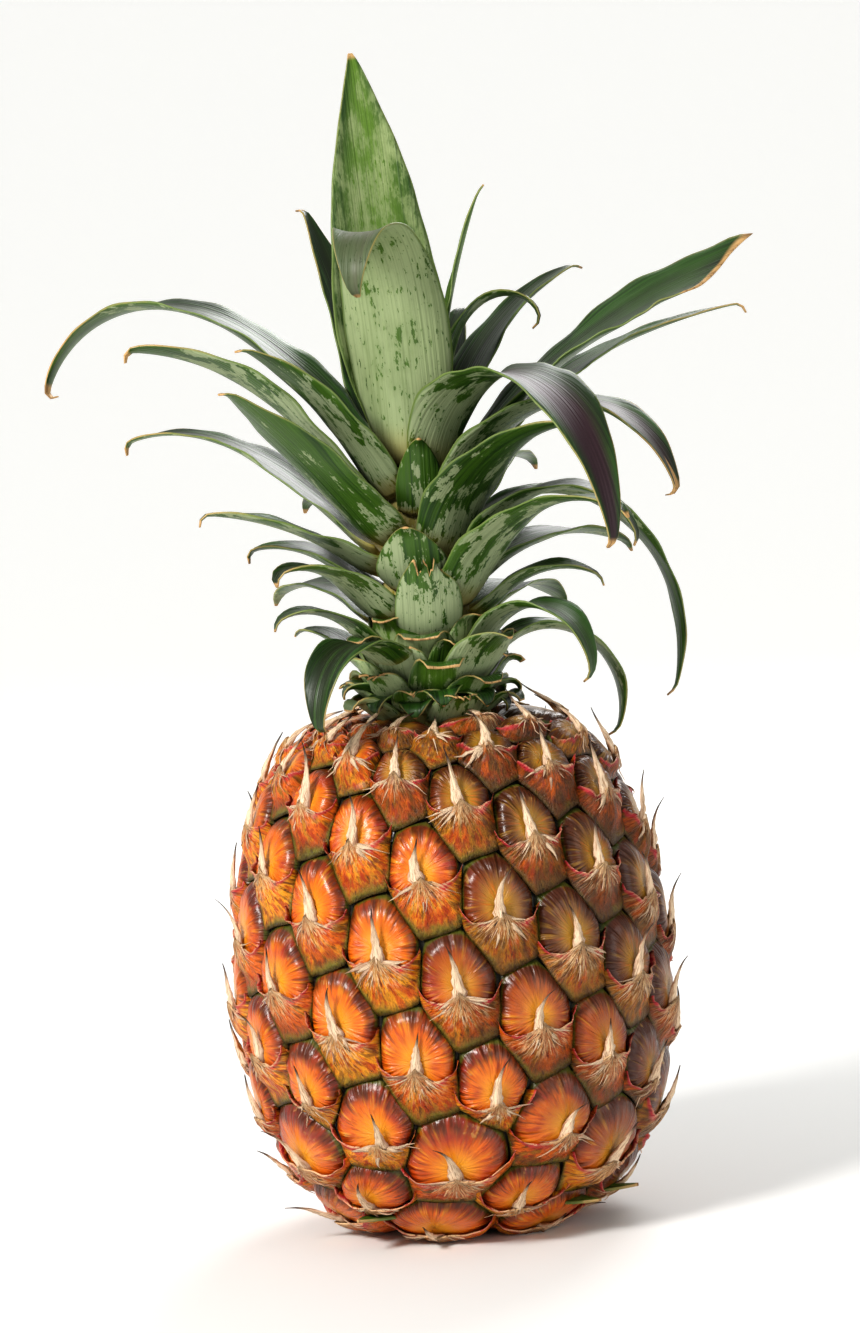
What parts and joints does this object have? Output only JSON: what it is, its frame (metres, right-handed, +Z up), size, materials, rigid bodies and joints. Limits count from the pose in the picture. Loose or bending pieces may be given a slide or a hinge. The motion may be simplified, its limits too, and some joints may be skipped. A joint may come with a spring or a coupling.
{
  "type": "pineapple",
  "caption": "A whole pineapple standing on its cut base, with raised spiny eyes in spirals and an upright crown of long arching green leaves.",
  "frame": {"origin": "Where the fruit's upright axis meets the surface that it stands on, in the middle of the cut end of its stalk.", "axes": "+Z up along the fruit's axis to the crown, -Y towards the side that the picture shows, +X to the right of that view."},
  "size_m": [0.2045, 0.1607, 0.3228],
  "materials": {
    "fruit_skin": "waxy, glossy on the raised eyes",
    "cut_stalk_wood": "dry cut fibre, matt",
    "leaf_green": "waxy, satin, with a pale bloom underneath"
  },
  "bodies": {
    "root": {"fruit": "fruit_skin", "cut_stalk": "cut_stalk_wood", "crown_stem": "leaf_green", "leaf_01": "leaf_green", "leaf_02": "leaf_green", "leaf_03": "leaf_green", "leaf_04": "leaf_green", "leaf_05": "leaf_green", "leaf_06": "leaf_green", "leaf_07": "leaf_green", "leaf_08": "leaf_green", "leaf_09": "leaf_green", "leaf_10": "leaf_green", "leaf_11": "leaf_green", "leaf_12": "leaf_green", "leaf_13": "leaf_green", "leaf_14": "leaf_green", "leaf_15": "leaf_green", "leaf_16": "leaf_green", "leaf_17": "leaf_green", "leaf_18": "leaf_green", "leaf_19": "leaf_green", "leaf_20": "leaf_green", "leaf_21": "leaf_green", "leaf_22": "leaf_green", "leaf_23": "leaf_green", "leaf_24": "leaf_green", "leaf_25": "leaf_green", "leaf_26": "leaf_green", "leaf_27": "leaf_green", "leaf_28": "leaf_green", "leaf_29": "leaf_green", "leaf_30": "leaf_green", "leaf_31": "leaf_green", "leaf_32": "leaf_green", "leaf_33": "leaf_green", "leaf_34": "leaf_green", "leaf_35": "leaf_green", "leaf_36": "leaf_green", "leaf_37": "leaf_green", "leaf_38": "leaf_green", "leaf_39": "leaf_green", "leaf_40": "leaf_green", "leaf_41": "leaf_green", "leaf_42": "leaf_green", "leaf_43": "leaf_green", "leaf_44": "leaf_green", "leaf_45": "leaf_green"}
  },
  "joints": []
}
